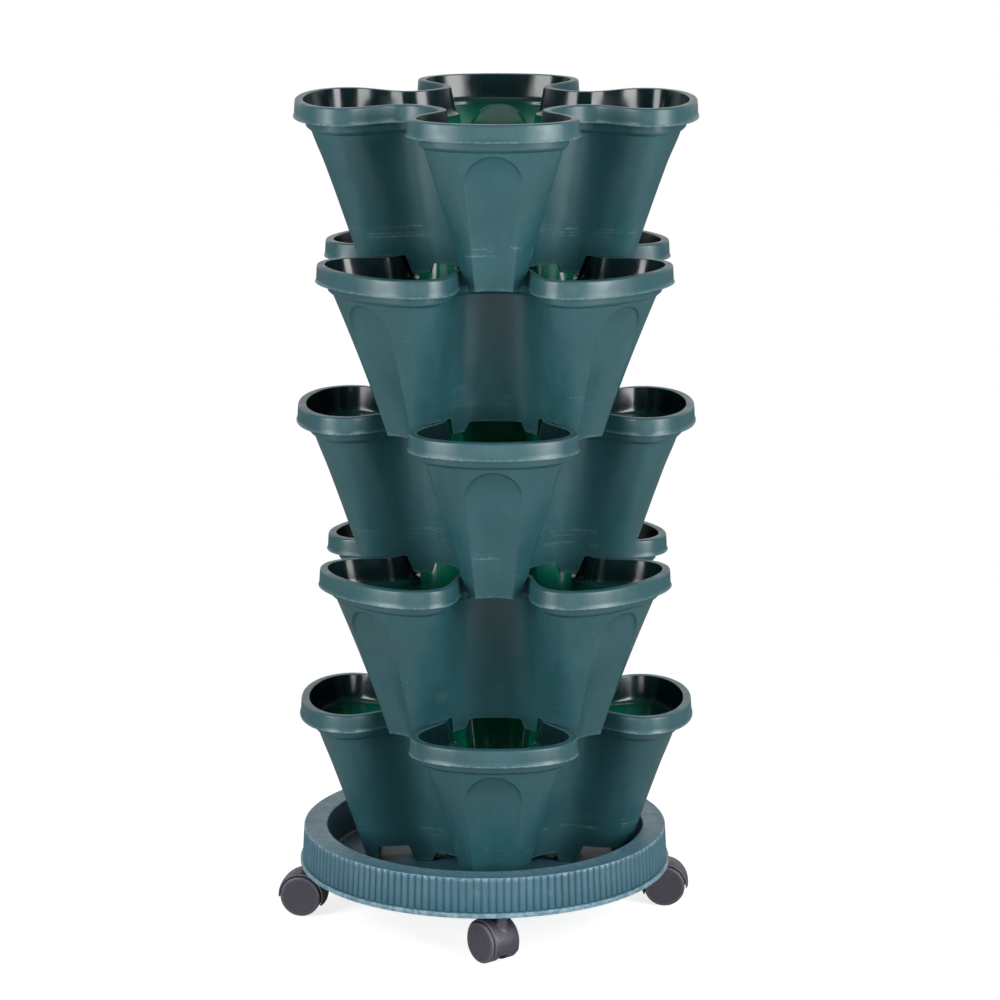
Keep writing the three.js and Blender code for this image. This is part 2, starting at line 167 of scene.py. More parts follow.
FLANGE_UPPER_ARC, FLANGE_LOWER_ARC = (90, 0, 5), (0, -90, 5)
DISH_WEAR = 0.6

# Casters, with the axle's middle as the origin
WHEEL_RADIUS, WHEEL_FACE, WHEEL_BACK = 18.2, 15.3, 4.3
WHEEL_EDGE, WHEEL_BACK_EDGE, WHEEL_DISH = 1.6, 0.6, 0.25
WHEEL_DISH_SHARES = (1.0, 0.8, 0.2)
WHEEL_ARC, WHEEL_BACK_ARC, WHEEL_BACK_WEAR = (90, 0, 8), (0, -90, 5), 0.5
HOOD_INNER, HOOD_OUTER, HOOD_CROWN, HOOD_POWER = 19.1, 21.4, 1.2, 2.6
HOOD_HALF, HOOD_EDGE, HOOD_CHAMFER = 13.0, 0.5, 0.25
HOOD_FRONT, HOOD_REAR, HOOD_STEPS = -24.0, 185.0, 64
HOOD_POINTS, HOOD_SIDE_SHARE, HOOD_TOP_SHARE = 19, 0.35, 0.3
HOOD_WORN_WIDTH, HOOD_WORN_RISE = 0.75, 0.25
WEB_HALF, WEB_EDGE, WEB_SINK = 4.0, 0.4, 0.6
CASTER_LEAD = 12.4
COLLAR_RADIUS, COLLAR_BORE, COLLAR_EDGE, COLLAR_TOP = 4.7, 2.9, 0.5, 43.7
COLLAR_EDGE_SHARE = 0.3
COLLAR_FLARE = ((2.9, -1.0), (7.0, -0.6), (6.0, -0.05), (5.4, 0.35), (5.0, 0.9), (4.78, 1.6), (4.7, 2.4))
AXLE_RADIUS, AXLE_HALF, AXLE_ROOM = 2.0, 11.5, 0.2
STEM_RADIUS, STEM_BOTTOM, STEM_FLANGE = 2.5, 27.0, 4.6
STEM_FLANGE_BOTTOM, STEM_FLANGE_TOP = 44.0, 45.2
PLUG_RADIUS, PLUG_LENGTH = 3.7, 26.0
PIN_CHAMFER = 0.3
SMALL_SIDES, WHEEL_SIDES = 48, 120

# Distance at which points are joined, and the angle in degrees past which an edge stays sharp
WELD = 0.0001
SHARP_ANGLE = 40

# Colours, linear
POT_DARK, POT_LIGHT = (0.011, 0.057, 0.067, 1), (0.016, 0.075, 0.088, 1)
POT_WORN = (0.17, 0.29, 0.31, 1)
# Inside of the pots: the dark slate near the rim is a painted reflection of dark surroundings, and the bright
# green deeper down is painted light that brightens the shaded pockets as if light shone through the wall. The
# two fade into each other between the two given heights
INNER_PAINTED_REFLECTION_DARK, INNER_PAINTED_REFLECTION_LIGHT = (0.002, 0.010, 0.012, 1), (0.005, 0.018, 0.021, 1)
INNER_PAINTED_GLOW_DARK, INNER_PAINTED_GLOW_LIGHT = (0.001, 0.200, 0.125, 1), (0.002, 0.270, 0.170, 1)
PAINTED_GLOW_FADE_TOP, PAINTED_GLOW_FADE_FOOT = -16.0, -42.0
TRAY_DARK, TRAY_LIGHT = (0.032, 0.104, 0.142, 1), (0.048, 0.134, 0.182, 1)
TRAY_WORN = (0.22, 0.34, 0.40, 1)
# Painted shade: a darker colour laid into the grooves between the tray's reeds
GROOVE_SHADE_COLOUR, GROOVE_SHADE_SHARE = (0.006, 0.026, 0.035, 1), 0.75
NYLON_DARK, NYLON_LIGHT = (0.022, 0.019, 0.029, 1), (0.062, 0.054, 0.076, 1)
NYLON_WORN, NYLON_WORN_SHARE = (0.14, 0.13, 0.16, 1), 0.35
STEEL_DARK, STEEL_LIGHT = (0.42, 0.43, 0.45, 1), (0.62, 0.63, 0.65, 1)
SCUFF_TOP, SCUFF_MIDDLE, SCUFF_BOTTOM = -96.0, -112.0, -132.0
SCUFF_COLOUR, SCUFF_SHARE = (0.20, 0.28, 0.29, 1), 0.75
SPECK_COLOUR = (0.35, 0.42, 0.42, 1)
WHITE = (1, 1, 1, 1)

# Patterns: noises as (scale, detail), ranges as (low, high), and bumps as (strength, height in metres)
PLAIN_DETAIL, PLAIN_ROUGH, HARSH_ROUGH, PLAIN_SPECULAR = 2.0, 0.5, 0.7, 0.5
MIDDLE = (0.3, 0.7)
CLOUD_NOISE, CLOUD_SHARE = (16.0, 4.0), 0.6
STREAK_STRETCH, STREAK_SHARE = (160.0, 160.0, 7.0), 0.4
RUB_NOISE, RUB_RANGE, RUB_SHARE, RUB_START = (240.0, 3.0), (0.42, 0.62), 0.5, 0.25
SCUFF_STRETCH, SCUFF_DETAIL, SCUFF_LINES = (14.0, 14.0, 900.0), 3.0, (0.54, 0.66)
SCUFF_PATCH_NOISE, SCUFF_PATCHES = (38.0, 2.0), (0.5, 0.62)
SCUFF_GRAIN_NOISE, SCUFF_GRAINS = (900.0, 2.0), (0.42, 0.56)
SPECK_SCALE, SPECK_SIZE, SPECK_CORE, SPECK_SHARE = 60.0, 0.03, 0.012, 0.18
TRAY_RUB_STRETCH, TRAY_RUB_DETAIL = (60.0, 260.0, 60.0), 4.0
TRAY_RUB_RANGE, TRAY_RUB_SHARE = (0.58, 0.75), 0.18
NYLON_GRAIN_NOISE, NYLON_GRAINS, NYLON_BUMP = (1500.0, 3.0), (0.35, 0.65), (0.8, 0.00012)
NYLON_ROUGH_NOISE, NYLON_ROUGH = (220.0, 3.0), (0.42, 0.56)
STEEL_STRETCH, STEEL_ROUGH, STEEL_BUMP = (300.0, 300.0, 4000.0), (0.25, 0.38), (0.2, 0.00002)

# Surfaces of the mouldings: roughness, fine grain and slow waves of the wall
POT_SURFACE = {
    "rough": (0.36, 0.46),
    "rough_noise": (70.0, 3.0),
    "grain_noise": (2600.0, 2.0),
    "grain_bump": (0.35, 0.00006),
    "wave_noise": (30.0, 1.0),
    "wave_bump": (0.25, 0.0009),
    "specular": 0.6,
}
INNER_SURFACE = {
    "rough": (0.13, 0.22),
    "rough_noise": (60.0, 3.0),
    "grain_noise": (1400.0, 2.0),
    "grain_bump": (0.15, 0.00004),
    "wave_noise": (24.0, 2.0),
    "wave_bump": (0.35, 0.0012),
    "specular": PLAIN_SPECULAR,
}
TRAY_SURFACE = {
    "rough": (0.38, 0.5),
    "rough_noise": (50.0, 4.0),
    "grain_noise": (2400.0, 2.0),
    "grain_bump": (0.4, 0.00006),
    "wave_noise": (40.0, 2.0),
    "wave_bump": (0.2, 0.0006),
    "specular": PLAIN_SPECULAR,
}

# Studio, in metres and watts. Each lamp has its place, width, height and power
LAMP_TARGET = (0, 0, 0.42)
LAMPS = {
    "left_box": ((-1.75, -1.5, 1.0), 1.2, 1.7, 58),
    "right_box": ((1.75, -1.5, 1.0), 1.2, 1.7, 70),
    "front_box": ((0, -3.6, 0.4), 1.2, 0.6, 14),
    "top_box": ((0, -0.9, 2.5), 1.4, 1.0, 5),
}
FLOOR_SIZE, FLOOR_GAP = 12.0, 0.0002
FLOOR_COLOUR, FLOOR_GLOW = (0.45, 0.45, 0.45, 1), 0.8
FLOOR_FADE_NEAR, FLOOR_FADE_FAR = 0.28, 0.6
ROOM_LIGHT, BACKDROP_LIGHT = 0.08, 0.55
ROOM_GLOSS, BACKDROP_GLOSS = 0.04, 1.0
BACKDROP_START, BACKDROP_FULL = 0.0, 0.6
CAMERA_PLACE, CAMERA_ANGLES = (0.0641, -3.3843, 1.1712), (76.77, 0.0, 0.86)
CAMERA_LENS, CAMERA_SENSOR = 142.04, 36.0

BODY_OF = {node: body for body, nodes in frame["record"]["behaviour"]["bodies"].items() for node in nodes}


def mix(a, b, t):
    """The value a share t of the way from a to b."""
    return a + (b - a) * t


def bezier(points, t):
    """Cubic Bezier curve through four (x, y) points, at each t."""
    s = 1 - t
    weights = (s**3, 3 * s * s * t, 3 * s * t * t, t**3)
    return (
        sum(w * p[0] for w, p in zip(weights, points)),
        sum(w * p[1] for w, p in zip(weights, points)),
    )


def half_lobe(tip, half, shoulder, valley, place):
    """Points of half a lobe. place runs from 0 at the tip over 1 at the shoulder to 2 in the valley."""
    v = valley * math.sqrt(0.5)
    flank = shoulder - v
    reach = flank * VALLEY_HANDLE * math.sqrt(0.5)
    zero = np.zeros_like(tip)
    front = (
        (tip, zero),
        (tip, half * TIP_HANDLE),
        (shoulder + (tip - shoulder) * SHOULDER_HANDLE, half),
        (shoulder, half),
    )
    side = (
        (shoulder, half),
        (shoulder - flank * FLANK_HANDLE, half),
        (v + reach, v - reach),
        (v, v),
    )
    fx, fy = bezier(front, np.clip(place, 0, 1))
    sx, sy = bezier(side, np.clip(place - 1, 0, 1))
    return np.where(place <= 1, fx, sx), np.where(place <= 1, fy, sy)


def lip_section(inset):
    """Section of the rim and the neck, set in from the lip."""
    return LIP["tip"] - inset, LIP["half"] - inset, LIP["shoulder"] + 0 * inset, LIP["valley"] - inset


def body_section(z, inset):
    """Section of the tapering body, slightly hollow along its height as mouldings are."""
    t = (NECK_BOTTOM - z) / BODY_HEIGHT
    bow = SIDE_BOW * 4 * np.clip(t, 0, 1) * (1 - np.clip(t, 0, 1))
    return (
        mix(LIP["tip"] - BODY_INSET, FOOT["tip"], t) - inset - bow,
        mix(LIP["half"] - BODY_INSET, FOOT["half"], t) - inset - bow / 2,
        mix(LIP["shoulder"], FOOT["shoulder"], t),
        mix(LIP["valley"] - BODY_INSET, FOOT["valley"], t) - inset,
    )


def flute_half(z):
    """Half width of the flute below its arch."""
    return mix(FLUTE_HALF, FLUTE_FOOT_HALF, np.clip((ARCH_LEVEL - z) / (POT_HEIGHT + ARCH_LEVEL), 0, 1))


def flute_face(y, z, inset):
    """X of the flute's face, which lies under the lobe's tip line and hollows towards the foot."""
    arch = np.clip((FLUTE_TOP - z) / FLUTE_HALF, 0, 1)
    run = np.clip((ARCH_LEVEL - z) / (POT_HEIGHT + ARCH_LEVEL), 0, 1)
    fall = np.clip((FLUTE_TOP - z) / (POT_HEIGHT + FLUTE_TOP), 0, 1)
    depth = mix(FLUTE_EDGE_DEPTH, FLUTE_PANEL_DEPTH, arch * (2 - arch))
    depth = depth + (FLUTE_FOOT_DEPTH - FLUTE_PANEL_DEPTH) * run
    tip = body_section(z, inset)[0]
    return tip - depth + fall * FLUTE_HOLLOW * (y / FLUTE_FOOT_HALF) ** 2


def flute_cover(y, z, grow):
    """How far a point lies inside the flute's outline, from 0 on it to 1 past its soft edge."""
    under_arch = FLUTE_HALF + grow - np.hypot(y, z - ARCH_LEVEL)
    room = np.where(z > ARCH_LEVEL, under_arch, flute_half(z) + grow - y)
    share = np.clip(room / FLUTE_SOFT, 0, 1)
    return share * share * (3 - 2 * share)


def place_where(z, inset, test, end=2.0):
    """Place at each height z, counted from the tip, where test(x, y) falls through zero."""
    low, high = np.zeros(np.shape(z)), np.full(np.shape(z), end)
    for _ in range(HALVINGS):
        middle = (low + high) / 2
        x, y = half_lobe(*body_section(z, inset), middle)
        ahead = test(x, y) > 0
        low, high = np.where(ahead, middle, low), np.where(ahead, high, middle)
    return low


def spread(place, z, inset):
    """Moves the columns so that those on the flute keep their share of its width at every height."""
    width = (flute_half(z) + inset) * np.minimum(place / FLUTE_SPAN, 1)
    face = place_where(z + 0 * place, inset, lambda x, y: width - y, 1.0)
    beyond = np.clip((place - FLUTE_SPAN) / (1 - FLUTE_SPAN), 0, 1)
    return np.where(place > 1, place, mix(face, 1.0, beyond))


def gathered(place, z):
    """The column that spread moves to a place beyond the flute."""
    edge = place_where(z, 0.0, lambda x, y: flute_half(z) - y, 1.0)
    return place if place > 1 else mix(FLUTE_SPAN, 1.0, (place - edge) / (1 - edge))


def body_row(z, inset, place):
    """One row of the body's skin over half a lobe, with its flute, set in from the outside."""
    x, y = half_lobe(*body_section(z, inset), spread(place, z, inset))
    sunk = np.minimum(x, flute_face(y, z, inset))
    return mix(x, sunk, flute_cover(y, z, inset)), y


def rounded(points, radius_share, steps):
    """The corners of a polyline of (place, height) pairs, each rounded by a short curve."""
    out = [points[0]]
    for before, corner, after in zip(points, points[1:], points[2:]):
        a = [mix(corner[i], before[i], radius_share[0 if before[1] == corner[1] else 1]) for i in (0, 1)]
        b = [mix(corner[i], after[i], radius_share[0 if after[1] == corner[1] else 1]) for i in (0, 1)]
        for k in range(steps + 1):
            t = k / steps
            out.append(tuple(mix(mix(a[i], corner[i], t), mix(corner[i], b[i], t), t) for i in (0, 1)))
    return out + [points[-1]]


def foot_edge():
    """The wall's lower edge over half a lobe, with the rim slot and the valley notch, as (place, height)."""
    foot, slot_top, notch_top = -POT_HEIGHT, FLOOR_UNDER - SLOT_ROOM, -POT_HEIGHT + NOTCH_HEIGHT
    corners = [(0.0, foot)]
    for z, x_edge in (
        (foot, SLOT_OUTER_FOOT),
        (slot_top, SLOT_OUTER_TOP),
        (slot_top, SLOT_INNER_TOP),
        (foot, SLOT_INNER_FOOT),
    ):
        corners.append((gathered(place_where(z, 0.0, lambda x, y: x - x_edge), z), z))
    for z, w_edge in ((foot, NOTCH_FOOT), (notch_top, NOTCH_TOP)):
        corners.append((place_where(z, 0.0, lambda x, y: (x - y) * math.sqrt(0.5) - w_edge), z))
    corners.append((2.0, notch_top))
    return rounded(corners, *FOOT_CORNERS)


def columns():
    """Places of the columns over half a lobe, and the height of the foot edge at each."""
    edge = foot_edge()
    edge_place = np.array([p for p, _ in edge])
    edge_height = np.array([h for _, h in edge])
    regular = np.concatenate((
        FLUTE_SPAN * np.sin(ARCH_TURNS),
        np.linspace(FLUTE_SPAN, 1, SHOULDER_COLUMNS + 1)[1:],
        np.linspace(1, 2, FLANK_COLUMNS + 1)[1:],
    ))
    near = np.abs(regular[:, None] - edge_place[None, 1:-1]).min(axis=1)
    kept = regular[(near > COLUMN_ROOM) | (regular <= FLUTE_SPAN) | (regular == 2.0)]
    place = np.unique(np.concatenate((kept, edge_place[1:-1])))
    return place, np.interp(place, edge_place, edge_height)


def arc(centre, radius, start, end, steps):
    """Points of an arc in (inset, height), from one angle to another in degrees."""
    angles = np.radians(np.linspace(start, end, steps))
    return [(centre[0] + radius * math.cos(a), centre[1] + radius * math.sin(a)) for a in angles]


def neck_profile():
    """The band between the body and the roof of the skirt, going up, as (inset, height)."""
    corners = [
        (BODY_INSET, NECK_BOTTOM + NECK_START),
        (NECK_FOOT_INSET, NECK_BOTTOM + NECK_STEP),
        (NECK_LOW_INSET, NECK_LEDGE),
        (NECK_TOP_INSET, -RIM_HEIGHT),
        (NECK_ROOF_INSET, -RIM_ROOF - NECK_ROOM),
    ]
    return rounded(corners, *NECK_CORNERS)


def rim_profile():
    """Skirt, bead, lip and rim top, going up and over from the neck, as (inset, height)."""
    skirt = [(NECK_ROOF_INSET + step, rise - RIM_ROOF) for step, rise in ROOF_FROM_NECK]
    skirt += [(WALL + RIM_FLARE + step, rise - RIM_ROOF) for step, rise in ROOF_TO_SKIRT]
    skirt += [(WALL + SKIRT_ROOM, -RIM_HEIGHT + SKIRT_RISE)]
    bead = arc((BEAD, -RIM_HEIGHT + BEAD), BEAD, *BEAD_ARC)
    face = [(mix(BEAD, RIM_FLARE, share), -RIM_HEIGHT * (1 - share)) for share in FACE_SHARES]
    top = arc((RIM_FLARE + RIM_ROUND, -RIM_ROUND), RIM_ROUND, *TOP_ARC)
    top += arc((RIM_INSET - INNER_ROUND, -INNER_ROUND), INNER_ROUND, *TOP_EDGE_ARC)
    return skirt + bead + face + top


def inner_rim_profile():
    """The inside of the rim and the ledge where the wall steps in, going down, as (inset, height)."""
    edge = arc((RIM_INSET - INNER_ROUND, -INNER_ROUND), INNER_ROUND, *INNER_EDGE_ARC)
    corners = [
        edge[-1],
        (NECK_LOW_INSET + WALL, LEDGE_TOP),
        (BODY_INSET + WALL - LEDGE_ROOM, LEDGE_FOOT),
        (BODY_INSET + WALL - LEDGE_END_ROOM, LEDGE_FOOT - LEDGE_DROP),
    ]
    return edge[:-1] + rounded(corners, *LEDGE_CORNERS)


def pot_rows(place, foot):
    """All rows of the pot's skin over half a lobe: x, y, z, then the zone, wear and arch mark of each."""
    rows = []
    rim_place = spread(place, NECK_BOTTOM, 0.0)

    def add(x, y, z, zone, wear, turn=OFF_ARCH):
        on_arch = np.abs(place - FLUTE_SPAN * math.sin(turn)) < SAME_PLACE
        rows.append((x, y, z + 0 * x, zone + 0 * x, wear + 0 * x, on_arch * 1.0))

    def body(z, inset=0.0, zone=OUTSIDE, wear=0.0, turn=OFF_ARCH):
        x, y = body_row(z + 0 * foot, inset, place)
        add(x, y, z, zone, wear, turn)

    def lip(inset, z, zone=OUTSIDE, wear=0.0):
        x, y = half_lobe(*lip_section(inset), rim_place)
        add(x, y, z, zone, wear)

    for share in UNDER_SHARES:
        z = foot + EDGE_ROUND + (FLOOR_UNDER - foot - EDGE_ROUND) * share
        body(np.maximum(z, foot + FOOT_ROOM), WALL, UNDERSIDE)
    for a in np.radians(FOOT_INNER_TURNS):
        lift = np.minimum(EDGE_ROUND, FOOT_LIFT_SHARE * (FLOOR_TOP - foot))
        inset = WALL - EDGE_ROUND * (1 - math.cos(a))
        body(foot + lift * (1 - math.sin(a)), inset, UNDERSIDE, FOOT_INNER_WEAR)
    for a in np.radians(FOOT_OUTER_TURNS):
        inset = EDGE_ROUND * (1 - math.cos(a))
        wear = FULL_WEAR - FOOT_WEAR_EASE * math.cos(a)
        body(foot + EDGE_ROUND * (1 - math.sin(a)), inset, wear=wear)
    for share in np.linspace(0, 1, FOOT_ROWS + 1)[1:]:
        body(mix(foot + EDGE_ROUND, MID_LEVEL, share))
    for z in np.linspace(MID_LEVEL, ARCH_LEVEL, WALL_ROWS + 2)[1:-1]:
        body(z)
    for turn in reversed(ARCH_TURNS):
        body(ARCH_LEVEL + FLUTE_HALF * math.cos(turn), turn=turn)
    for share in ABOVE_ARCH_SHARES:
        body(mix(FLUTE_TOP, NECK_BOTTOM, share))
    for inset, z in neck_profile():
        lip(inset, z)
    for inset, z in rim_profile():
        on_bead = inset <= BEAD + BEAD_BAND_INSET and z < -RIM_HEIGHT + BEAD_BAND_HEIGHT
        on_edge = z > -RIM_BAND and inset > RIM_INSET - RIM_BAND
        lip(inset, z, wear=BEAD_WEAR if on_bead else RIM_WEAR if on_edge else 0.0)
    for inset, z in inner_rim_profile():
        lip(inset, z, INSIDE)
    for turn in ARCH_TURNS:
        body(ARCH_LEVEL + (FLUTE_HALF + WALL) * math.cos(turn), WALL, INSIDE, turn=turn)
    for z in np.linspace(ARCH_LEVEL, FLOOR_TOP + FLOOR_FILLET, INNER_ROWS + 1)[1:]:
        body(z, WALL, INSIDE)
    for a in np.radians(FILLET_TURNS):
        inset = WALL + FLOOR_FILLET * (1 - math.cos(a))
        body(FLOOR_TOP + FLOOR_FILLET * (1 - math.sin(a)), inset, INSIDE)
    return rows


def around(row):
    """A row over half a lobe, mirrored and turned into the whole outline, counter-clockwise."""
    x, y, *rest = row
    back = slice(-2, 0, -1)
    lobe_x, lobe_y = np.concatenate((x, y[back])), np.concatenate((y, x[back]))
    turns = [k * 2 * math.pi / LOBES for k in range(LOBES)]
    whole_x = np.concatenate([lobe_x * math.cos(a) - lobe_y * math.sin(a) for a in turns])
    whole_y = np.concatenate([lobe_x * math.sin(a) + lobe_y * math.cos(a) for a in turns])
    return [whole_x, whole_y, *(np.tile(np.concatenate((v, v[back])), LOBES) for v in rest)]


def grid_faces(rows, count, wrap):
    """Quads between closed rows of count points each; wrap joins the last row to the first."""
    r, c = np.meshgrid(np.arange(rows if wrap else rows - 1), np.arange(count), indexing="ij")
    n = (c + 1) % count
    up = (r + 1) % rows
    return np.stack((r * count + c, r * count + n, up * count + n, up * count + c), axis=-1).reshape(-1, 4)


def skin(x, y, z, wrap=False, **values):
    """A bmesh over rows of points, each row a closed ring, with a float layer for each named value."""
    rows, count = x.shape
    bm = bmesh.new()
    layers = []
    for name, grid in values.items():
        layers.append((bm.verts.layers.float.new(name), (grid + 0 * x).ravel().tolist()))
    for k, point in enumerate(np.stack((x, y, z), axis=-1).reshape(-1, 3).tolist()):
        vert = bm.verts.new(point)
        for layer, grid in layers:
            vert[layer] = grid[k]
    bm.verts.ensure_lookup_table()
    for corners in grid_faces(rows, count, wrap).tolist():
        bm.faces.new([bm.verts[k] for k in corners])
    return bm


def loop_edges(bm, start, count):
    """The edges of one closed row of count points."""
    verts = bm.verts
    return [bm.edges.get((verts[start + k], verts[start + (k + 1) % count])) for k in range(count)]


def fill_flat(bm, edges, material=0):
    """Fills a flat area with holes."""
    faces = bmesh.ops.triangle_fill(bm, use_beauty=True, use_dissolve=False, edges=edges)["geom"]
    for face in faces:
        if isinstance(face, bmesh.types.BMFace):
            face.material_index = material


def close_ends(bm, rows, count):
    """Caps the first and the last row."""
    for start in (0, (rows - 1) * count):
        fill_flat(bm, loop_edges(bm, start, count))


def turned(profile, sides):
    """A body turned round Z from (radius, height, wear) points that start and end on the axis."""
    radius, height, wear = (np.array(column)[:, None] for column in zip(*profile))
    a = np.arange(sides) * 2 * math.pi / sides
    bm = skin(radius * np.cos(a), radius * np.sin(a), height + 0 * a, wear=wear)
    bmesh.ops.remove_doubles(bm, verts=bm.verts, dist=WELD)
    return bm


def absorb(bm, part, place):
    """Adds another bmesh to bm, moved to its place."""
    part.transform(place)
    mesh = bpy.data.meshes.new("part")
    part.to_mesh(mesh)
    part.free()
    bm.from_mesh(mesh)
    bpy.data.meshes.remove(mesh)


def new_piece(name, bm, place, materials, node):
    """Turns a bmesh in millimetres into a smooth piece that stands for a node and rides on its body."""
    bm.transform(place @ Matrix.Scale(MM, 4))
    bmesh.ops.recalc_face_normals(bm, faces=bm.faces)
    mesh = bpy.data.meshes.new(name)
    bm.to_mesh(mesh)
    bm.free()
    mesh.shade_smooth()
    mesh.set_sharp_from_angle(angle=math.radians(SHARP_ANGLE))
    for material in materials:
        mesh.materials.append(material)
    obj = bpy.data.objects.new(name, mesh)
    bpy.context.scene.collection.objects.link(obj)
    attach(obj, BODY_OF[node])
    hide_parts(node)


def pot_mesh():
    """The whole moulding as one closed skin, with its wear and its height at each point."""
    place, foot = columns()
    rows = [around(r) for r in pot_rows(place, foot)]
    count = len(rows[0][0])
    x, y, z, zone, wear, on_arch = (np.stack([r[k] for r in rows]) for k in range(6))
    bm = skin(x, y, z, wear=wear, height=z, on_arch=on_arch)
    inner_rows = zone[:, 0] == INSIDE
    bm.faces.ensure_lookup_table()
    for row in np.flatnonzero(inner_rows[:-1] & inner_rows[1:]).tolist():
        for k in range(count):
            bm.faces[row * count + k].material_index = 1
    split_on_arch(bm)
    caps = [loop_edges(bm, 0, count), loop_edges(bm, (len(rows) - 1) * count, count)]
    holes = [(0.0, 0.0)] + [(DRAIN_AT * math.cos(a), DRAIN_AT * math.sin(a)) for a in QUARTER_TURNS]
    for centre in holes:
        drain_hole(bm, centre, caps)
    fill_flat(bm, caps[0])
    fill_flat(bm, caps[1], material=1)
    return bm


def split_on_arch(bm):
    """Splits the quads that the flutes' arches cross along the arch, so that its edge stays clean."""
    mark = bm.verts.layers.float["on_arch"]
    for face in list(bm.faces):
        marked = [vert for vert in face.verts if vert[mark] > 0.5]
        if len(marked) == 2 and not bm.edges.get(marked):
            bmesh.utils.face_split(face, *marked)


def drain_hole(bm, centre, caps):
    """A round hole through the floor; its two rims join the edges of the floor's faces."""
    turns = [k * 2 * math.pi / DRAIN_SIDES for k in range(DRAIN_SIDES)]
    circle = [(centre[0] + DRAIN_RADIUS * math.cos(a), centre[1] + DRAIN_RADIUS * math.sin(a)) for a in turns]
    rings = []
    for cap, z in zip(caps, (FLOOR_UNDER, FLOOR_TOP)):
        verts = [bm.verts.new((x, y, z)) for x, y in circle]
        cap.extend(bm.edges.new(pair) for pair in zip(verts, verts[1:] + verts[:1]))
        rings.append(verts)
    low, high = rings
    for k in range(DRAIN_SIDES):
        n = (k + 1) % DRAIN_SIDES
        bm.faces.new((low[k], low[n], high[n], high[k])).material_index = 1


def build_pots(outer, inner):
    """The five pots, each turned by half a lobe from the one below."""
    for node in sorted(n for n in frame["nodes"] if n.startswith("pot_tier")):
        low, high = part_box(node)
        centre = (low + high) / 2
        straight = (high - low).x > STRAIGHT_LIMIT * MM
        turn = Matrix.Rotation(0 if straight else math.pi / LOBES, 4, "Z")
        place = Matrix.Translation((centre.x, centre.y, high.z)) @ turn
        new_piece(node.replace("pot_", "planter_"), pot_mesh(), place, (outer, inner), node)


def tray_profile():
    """The tray's section as (radius, height, reed share, wear), from its middle over the rim to below."""
    def bare(points, wear=0.0):
        return [(r, z, 0.0, wear) for r, z in points]

    fillet, edge, lip = DISH_FILLET, TRAY_EDGE, TRAY_FLANGE - FLANGE_EDGE
    gap = TRAY_BASE - REED_DEPTH - GAP_DEPTH
    rows = bare([(0.0, DISH_THICKNESS), (DISH_FLOOR / 2, DISH_THICKNESS)])
    rows += bare(arc((DISH_FLOOR - fillet, DISH_THICKNESS + fillet), fillet, *DISH_FLOOR_ARC))
    rows += bare(arc((DISH_TOP + DISH_EDGE, TRAY_HEIGHT - DISH_EDGE), DISH_EDGE, *DISH_EDGE_ARC), DISH_WEAR)
    rows += bare([(TRAY_TOP - RING_EDGE_STEP, TRAY_HEIGHT)])
    for a in np.radians(RING_EDGE_TURNS):
        radius, height = TRAY_TOP - edge * (1 - math.cos(a)), TRAY_HEIGHT - edge * (1 - math.sin(a))
        rows.append((radius, height, math.cos(a), FULL_WEAR))
    for share in REED_SHARES:
        height = mix(TRAY_HEIGHT - edge, FLANGE_HEIGHT + REED_LIFT, share)
        rows.append((mix(TRAY_TOP, TRAY_BASE, share), height, 1.0, 0.0))
    rows += [(TRAY_BASE - REED_FOOT_STEP, FLANGE_HEIGHT + REED_FOOT_RISE, REED_FOOT_SHARE, 0.0)]
    rows += bare([(gap, FLANGE_HEIGHT + GAP_RISE), (gap, FLANGE_HEIGHT)])
    rows += bare(arc((lip, FLANGE_HEIGHT - FLANGE_EDGE), FLANGE_EDGE, *FLANGE_UPPER_ARC), FULL_WEAR)
    rows += bare(arc((lip, FLANGE_EDGE), FLANGE_EDGE, *FLANGE_LOWER_ARC), FULL_WEAR)
    channel = [(CHANNEL_OUTER, 0.0), (CHANNEL_OUTER, CHANNEL_ROOF - edge)]
    channel += [(CHANNEL_OUTER - edge, CHANNEL_ROOF), (CHANNEL_INNER + edge, CHANNEL_ROOF)]
    channel += [(CHANNEL_INNER, CHANNEL_ROOF - edge), (CHANNEL_INNER, 0.0)]
    return rows + bare(channel + [(CHANNEL_INNER / 2, 0.0), (0.0, 0.0)])


def tray_mesh(centre):
    """The tray round its axis, with its sockets under the rim."""
    radius, height, share, wear = (np.array(column)[:, None] for column in zip(*tray_profile()))
    column = np.arange(REEDS * REED_COLUMNS)
    a = column * 2 * math.pi / len(column)
    off_ridge = np.abs(2 * (column % REED_COLUMNS) / REED_COLUMNS - 1)
    r = radius - share * REED_DEPTH * off_ridge ** REED_POWER
    # The last value is how deep each point lies between two reeds, the mask of the painted shade in the
    # grooves
    bm = skin(r * np.cos(a), r * np.sin(a), height + 0 * a, wear=wear, groove=share * off_ridge ** REED_POWER)
    bmesh.ops.remove_doubles(bm, verts=bm.verts, dist=WELD)
    for joint in frame["joints"]:
        if joint["name"].endswith("_swivel"):
            spot = Vector(joint["pos_m"]) - centre
            place = Matrix.Translation((spot.x / MM, spot.y / MM, 0))
            absorb(bm, turned(socket_profile(), SMALL_SIDES), place)
    return bm


def socket_profile():
    """A caster socket under the tray's rim: a post with a blind bore for the stem's plug."""
    return [
        (0.0, SOCKET_DEPTH, 0.0),
        (SOCKET_BORE, SOCKET_DEPTH, 0.0),
        (SOCKET_BORE, 0.0, 0.0),
        (SOCKET_RADIUS, 0.0, 0.0),
        (SOCKET_RADIUS, CHANNEL_ROOF + SOCKET_SINK, 0.0),
        (0.0, CHANNEL_ROOF + SOCKET_SINK, 0.0),
    ]


